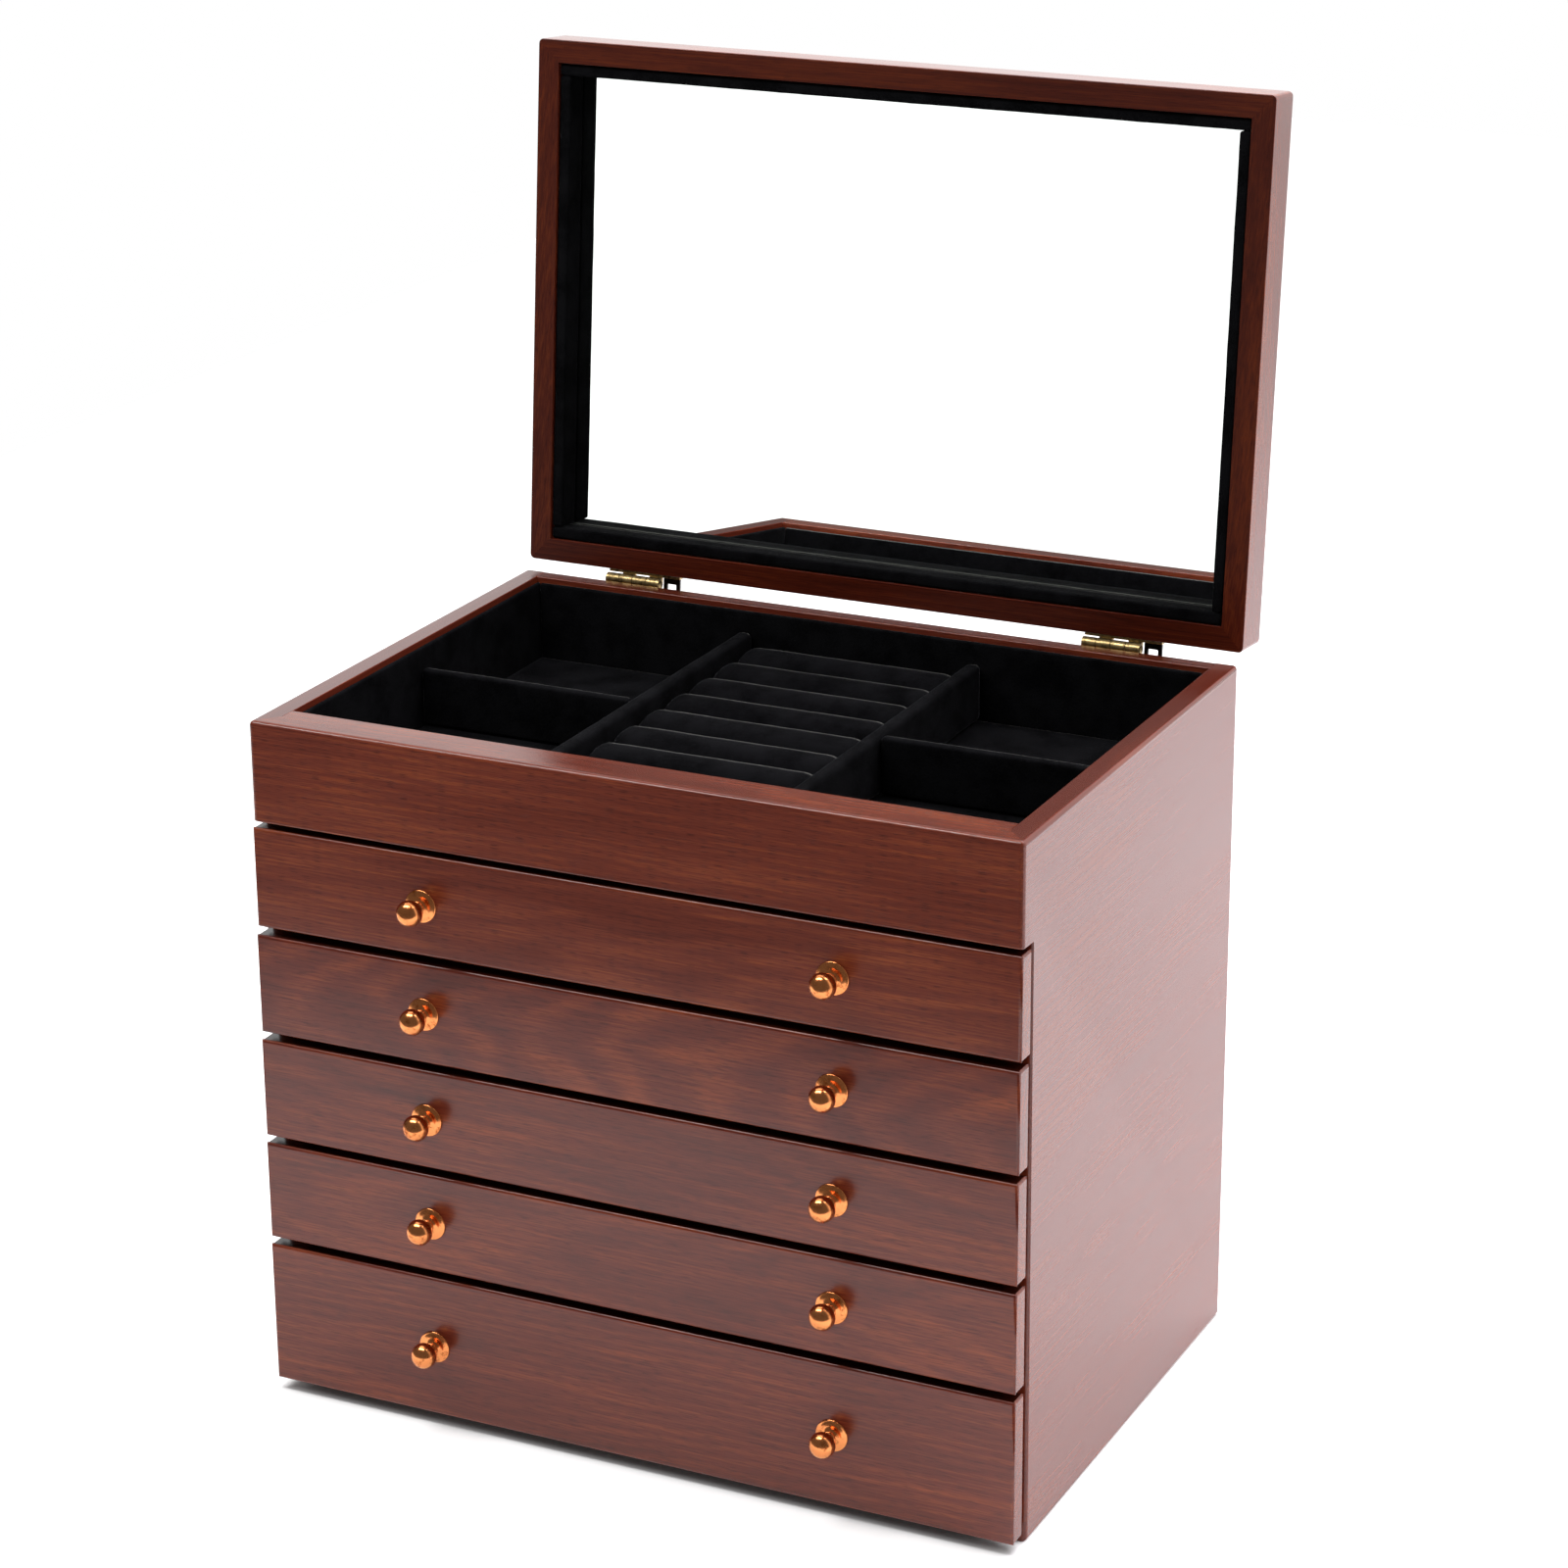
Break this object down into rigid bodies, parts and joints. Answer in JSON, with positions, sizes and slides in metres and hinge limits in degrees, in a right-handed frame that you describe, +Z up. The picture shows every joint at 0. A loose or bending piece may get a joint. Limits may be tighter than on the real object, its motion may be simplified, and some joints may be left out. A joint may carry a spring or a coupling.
{
  "type": "jewellery chest",
  "caption": "Wooden jewellery chest with a stack of shallow drawers with ball knobs, a velvet-lined tray with ring rolls, and a hinged lid with a mirror.",
  "frame": {"origin": "middle of the chest's underside, on the surface it stands on", "axes": "+X to the right as seen from the front, +Y from the front to the back, +Z up"},
  "size_m": [0.32, 0.2801, 0.5044],
  "materials": {
    "mahogany_lacquer": "satin lacquer over red-brown mahogany veneer",
    "inner_wood": "stained, dull",
    "velvet": "black velvet",
    "knob_metal": "antique copper plate, satin",
    "hinge_brass": "antique brass, tarnished",
    "mirror": "silvered glass"
  },
  "bodies": {
    "chest": {"side_panel_left": "mahogany_lacquer", "side_panel_right": "mahogany_lacquer", "back_panel": "mahogany_lacquer", "front_band": "mahogany_lacquer", "tray_front_wall": "mahogany_lacquer", "base_board": "inner_wood", "tray_floor": "inner_wood", "shelf_1": "inner_wood", "shelf_2": "inner_wood", "shelf_3": "inner_wood", "shelf_4": "inner_wood", "tray_lining": "velvet", "long_divider_left": "velvet", "long_divider_right": "velvet", "cross_divider_left": "velvet", "cross_divider_right": "velvet", "ring_roll_pad": "velvet", "hinge_leaf_carcass_left": "hinge_brass", "hinge_leaf_carcass_right": "hinge_brass", "hinge_pin_left": "hinge_brass", "hinge_pin_right": "hinge_brass"},
    "lid": {"lid_rail_front": "mahogany_lacquer", "lid_rail_back": "mahogany_lacquer", "lid_rail_left": "mahogany_lacquer", "lid_rail_right": "mahogany_lacquer", "lid_panel": "mahogany_lacquer", "mirror": "mirror", "lid_lining": "velvet", "hinge_leaf_lid_left": "hinge_brass", "hinge_leaf_lid_right": "hinge_brass"},
    "drawer_1": {"drawer_1_front": "mahogany_lacquer", "drawer_1_box": "inner_wood", "drawer_1_lining": "velvet", "drawer_1_knob_left": "knob_metal", "drawer_1_knob_right": "knob_metal"},
    "drawer_2": {"drawer_2_front": "mahogany_lacquer", "drawer_2_box": "inner_wood", "drawer_2_lining": "velvet", "drawer_2_knob_left": "knob_metal", "drawer_2_knob_right": "knob_metal"},
    "drawer_3": {"drawer_3_front": "mahogany_lacquer", "drawer_3_box": "inner_wood", "drawer_3_lining": "velvet", "drawer_3_knob_left": "knob_metal", "drawer_3_knob_right": "knob_metal"},
    "drawer_4": {"drawer_4_front": "mahogany_lacquer", "drawer_4_box": "inner_wood", "drawer_4_lining": "velvet", "drawer_4_knob_left": "knob_metal", "drawer_4_knob_right": "knob_metal"},
    "drawer_5": {"drawer_5_front": "mahogany_lacquer", "drawer_5_box": "inner_wood", "drawer_5_lining": "velvet", "drawer_5_knob_left": "knob_metal", "drawer_5_knob_right": "knob_metal"}
  },
  "joints": [
    {"name": "lid_hinge", "type": "hinge", "parent": "chest", "child": "lid", "pos_m": [0, 0.1131, 0.283], "axis": [1, 0, 0], "range_deg": [0, 95.2]},
    {"name": "drawer_1_slide", "type": "slide", "parent": "chest", "child": "drawer_1", "axis": [0, -1, 0], "range_m": [-0.0015, 0.15]},
    {"name": "drawer_2_slide", "type": "slide", "parent": "chest", "child": "drawer_2", "axis": [0, -1, 0], "range_m": [-0.0026, 0.15]},
    {"name": "drawer_3_slide", "type": "slide", "parent": "chest", "child": "drawer_3", "axis": [0, -1, 0], "range_m": [-0.0031, 0.15]},
    {"name": "drawer_4_slide", "type": "slide", "parent": "chest", "child": "drawer_4", "axis": [0, -1, 0], "range_m": [-0.0034, 0.15]},
    {"name": "drawer_5_slide", "type": "slide", "parent": "chest", "child": "drawer_5", "axis": [0, -1, 0], "range_m": [-0.0037, 0.15]}
  ]
}
